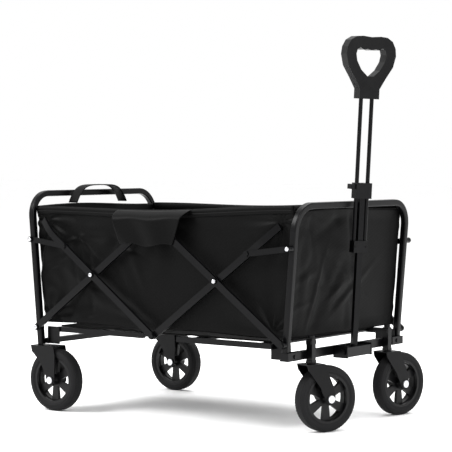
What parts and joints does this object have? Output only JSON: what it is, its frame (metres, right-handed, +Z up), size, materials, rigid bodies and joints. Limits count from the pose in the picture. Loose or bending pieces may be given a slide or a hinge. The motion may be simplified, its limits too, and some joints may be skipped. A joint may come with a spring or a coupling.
{
  "type": "folding wagon",
  "caption": "Folding utility wagon: fabric basket between two hoops joined by scissor bars, fixed rear wheels, front casters and a telescopic pull handle.",
  "frame": {"origin": "on the ground, midway between the four lower pivots of the scissor bars", "axes": "+X forward towards the handle, +Y left, +Z up"},
  "size_m": [0.9368, 0.5724, 0.9501],
  "materials": {
    "cloth": "woven polyester",
    "cloth_floor": "woven polyester over a stiff board",
    "webbing": "webbing",
    "tyre": "foamed rubber",
    "rim": "moulded plastic",
    "zinc": "zinc plated",
    "plastic": "moulded plastic",
    "frame": "black powder coat"
  },
  "bodies": {
    "rear_frame": {"rear_hoop": "frame", "rear_cross_tube": "frame", "rear_fork_right": "frame", "rear_fork_left": "frame", "rear_axle_right": "zinc", "rear_axle_left": "zinc", "basket_rear_wall": "cloth", "basket_side_right": "cloth", "basket_side_left": "cloth", "carry_strap": "webbing"},
    "front_frame": {"front_hoop": "frame", "front_cross_tube": "frame", "caster_socket_right": "frame", "caster_socket_left": "frame", "handle_bracket": "frame", "basket_front_wall": "cloth"},
    "bar_a_right": {"bar_a_right": "frame"},
    "bar_b_right": {"bar_b_right": "frame"},
    "bar_c_right": {"bar_c_right": "frame"},
    "bar_d_right": {"bar_d_right": "frame"},
    "link_rear_right": {"link_rear_right": "frame"},
    "link_front_right": {"link_front_right": "frame"},
    "bar_a_left": {"bar_a_left": "frame"},
    "bar_b_left": {"bar_b_left": "frame"},
    "bar_c_left": {"bar_c_left": "frame"},
    "bar_d_left": {"bar_d_left": "frame"},
    "link_rear_left": {"link_rear_left": "frame"},
    "link_front_left": {"link_front_left": "frame"},
    "floor_rear": {"floor_frame_rear": "frame", "basket_floor_rear": "cloth_floor"},
    "floor_front": {"floor_frame_front": "frame", "basket_floor_front": "cloth_floor"},
    "rear_wheel_right": {"rear_tyre_right": "tyre", "rear_rim_right": "rim"},
    "caster_right": {"caster_fork_right": "frame", "caster_axle_right": "zinc"},
    "caster_wheel_right": {"caster_tyre_right": "tyre", "caster_rim_right": "rim"},
    "rear_wheel_left": {"rear_tyre_left": "tyre", "rear_rim_left": "rim"},
    "caster_left": {"caster_fork_left": "frame", "caster_axle_left": "zinc"},
    "caster_wheel_left": {"caster_tyre_left": "tyre", "caster_rim_left": "rim"},
    "handle_yoke": {"handle_yoke": "frame"},
    "handle_lower": {"handle_tube": "frame", "handle_collar": "plastic"},
    "handle_upper": {"handle_rods": "frame", "handle_slider": "plastic", "handle_grip": "plastic"}
  },
  "joints": [
    {"name": "fold", "type": "hinge", "parent": "rear_frame", "child": "bar_b_right", "pos_m": [-0.39, -0.262, 0.215], "axis": [0, -1, 0], "range_deg": [0, 41.59], "deforming": ["basket_side_right", "basket_side_left"]},
    {"name": "rear_crossing_right", "type": "hinge", "parent": "bar_b_right", "child": "bar_a_right", "pos_m": [-0.195, -0.266, 0.35882], "axis": [0, -1, 0], "range_deg": [-83.68, 0]},
    {"name": "top_centre_right", "type": "hinge", "parent": "bar_b_right", "child": "bar_c_right", "pos_m": [0, -0.266, 0.50264], "axis": [0, -1, 0], "range_deg": [-83.68, 0]},
    {"name": "front_crossing_right", "type": "hinge", "parent": "bar_c_right", "child": "bar_d_right", "pos_m": [0.195, -0.266, 0.35882], "axis": [0, -1, 0], "range_deg": [0, 83.68]},
    {"name": "link_rear_right_pivot", "type": "hinge", "parent": "rear_frame", "child": "link_rear_right", "pos_m": [-0.40995, -0.262, 0.443], "axis": [0, -1, 0], "range_deg": [0, 77.03]},
    {"name": "link_front_right_pivot", "type": "hinge", "parent": "front_frame", "child": "link_front_right", "pos_m": [0.40875, -0.27, 0.443], "axis": [0, -1, 0], "range_deg": [-77.03, 0]},
    {"name": "rear_pivot_left", "type": "hinge", "parent": "rear_frame", "child": "bar_b_left", "pos_m": [-0.39, 0.262, 0.215], "axis": [0, -1, 0], "range_deg": [0, 42.09]},
    {"name": "rear_crossing_left", "type": "hinge", "parent": "bar_b_left", "child": "bar_a_left", "pos_m": [-0.195, 0.266, 0.35882], "axis": [0, -1, 0], "range_deg": [-83.68, 0]},
    {"name": "top_centre_left", "type": "hinge", "parent": "bar_b_left", "child": "bar_c_left", "pos_m": [0, 0.266, 0.50264], "axis": [0, -1, 0], "range_deg": [-83.68, 0]},
    {"name": "front_crossing_left", "type": "hinge", "parent": "bar_c_left", "child": "bar_d_left", "pos_m": [0.195, 0.266, 0.35882], "axis": [0, -1, 0], "range_deg": [0, 83.68]},
    {"name": "link_rear_left_pivot", "type": "hinge", "parent": "rear_frame", "child": "link_rear_left", "pos_m": [-0.40995, 0.262, 0.443], "axis": [0, -1, 0], "range_deg": [0, 77.03]},
    {"name": "link_front_left_pivot", "type": "hinge", "parent": "front_frame", "child": "link_front_left", "pos_m": [0.40875, 0.27, 0.443], "axis": [0, -1, 0], "range_deg": [-77.03, 0]},
    {"name": "front_pivot_right", "type": "hinge", "parent": "bar_c_right", "child": "front_frame", "pos_m": [0.39, -0.27, 0.215], "axis": [0, -1, 0], "range_deg": [0, 42.09]},
    {"name": "floor_rear_pivot", "type": "hinge", "parent": "rear_frame", "child": "floor_rear", "pos_m": [-0.343, 0, 0.209], "axis": [0, -1, 0], "range_deg": [0, 86.17]},
    {"name": "floor_front_pivot", "type": "hinge", "parent": "front_frame", "child": "floor_front", "pos_m": [0.343, 0, 0.209], "axis": [0, -1, 0], "range_deg": [-86.17, 0]},
    {"name": "rear_wheel_right_spin", "type": "hinge", "parent": "rear_frame", "child": "rear_wheel_right", "pos_m": [-0.334, -0.251, 0.0804], "axis": [0, 1, 0], "continuous": true},
    {"name": "caster_right_swivel", "type": "hinge", "parent": "front_frame", "child": "caster_right", "pos_m": [0.408, -0.173, 0.2], "axis": [0, 0, 1], "continuous": true},
    {"name": "caster_wheel_right_spin", "type": "hinge", "parent": "caster_right", "child": "caster_wheel_right", "pos_m": [0.42369, -0.13512, 0.0804], "axis": [-0.9239, 0.3827, 0], "continuous": true},
    {"name": "rear_wheel_left_spin", "type": "hinge", "parent": "rear_frame", "child": "rear_wheel_left", "pos_m": [-0.334, 0.251, 0.0804], "axis": [0, 1, 0], "continuous": true},
    {"name": "caster_left_swivel", "type": "hinge", "parent": "front_frame", "child": "caster_left", "pos_m": [0.408, 0.173, 0.2], "axis": [0, 0, 1], "continuous": true},
    {"name": "caster_wheel_left_spin", "type": "hinge", "parent": "caster_left", "child": "caster_wheel_left", "pos_m": [0.41757, 0.21287, 0.0804], "axis": [-0.9724, 0.2334, 0], "continuous": true},
    {"name": "handle_pitch", "type": "hinge", "parent": "front_frame", "child": "handle_yoke", "pos_m": [0.428, -0.008, 0.184], "axis": [0, 1, 0], "range_deg": [0, 86]},
    {"name": "handle_swivel", "type": "hinge", "parent": "handle_yoke", "child": "handle_lower", "pos_m": [0.42468, -0.008, 0.21395], "axis": [0.0558, 0, 0.9984], "range_deg": [0, 56]},
    {"name": "handle_telescope", "type": "slide", "parent": "handle_lower", "child": "handle_upper", "axis": [0.0558, 0, 0.9984], "range_m": [-0.18, 0.07]}
  ],
  "couplings": [
    {"joint": "rear_crossing_right", "follows": "fold", "ratio": -2},
    {"joint": "top_centre_right", "follows": "fold", "ratio": -2},
    {"joint": "front_crossing_right", "follows": "fold", "ratio": 2},
    {"joint": "link_rear_right_pivot", "follows": "fold", "ratio": 1.84},
    {"joint": "link_front_right_pivot", "follows": "fold", "ratio": -1.84},
    {"joint": "rear_pivot_left", "follows": "fold", "ratio": 1},
    {"joint": "rear_crossing_left", "follows": "fold", "ratio": -2},
    {"joint": "top_centre_left", "follows": "fold", "ratio": -2},
    {"joint": "front_crossing_left", "follows": "fold", "ratio": 2},
    {"joint": "link_rear_left_pivot", "follows": "fold", "ratio": 1.84},
    {"joint": "link_front_left_pivot", "follows": "fold", "ratio": -1.84},
    {"joint": "front_pivot_right", "follows": "fold", "ratio": 1},
    {"joint": "floor_rear_pivot", "follows": "fold", "ratio": 2.06},
    {"joint": "floor_front_pivot", "follows": "fold", "ratio": -2.06}
  ]
}
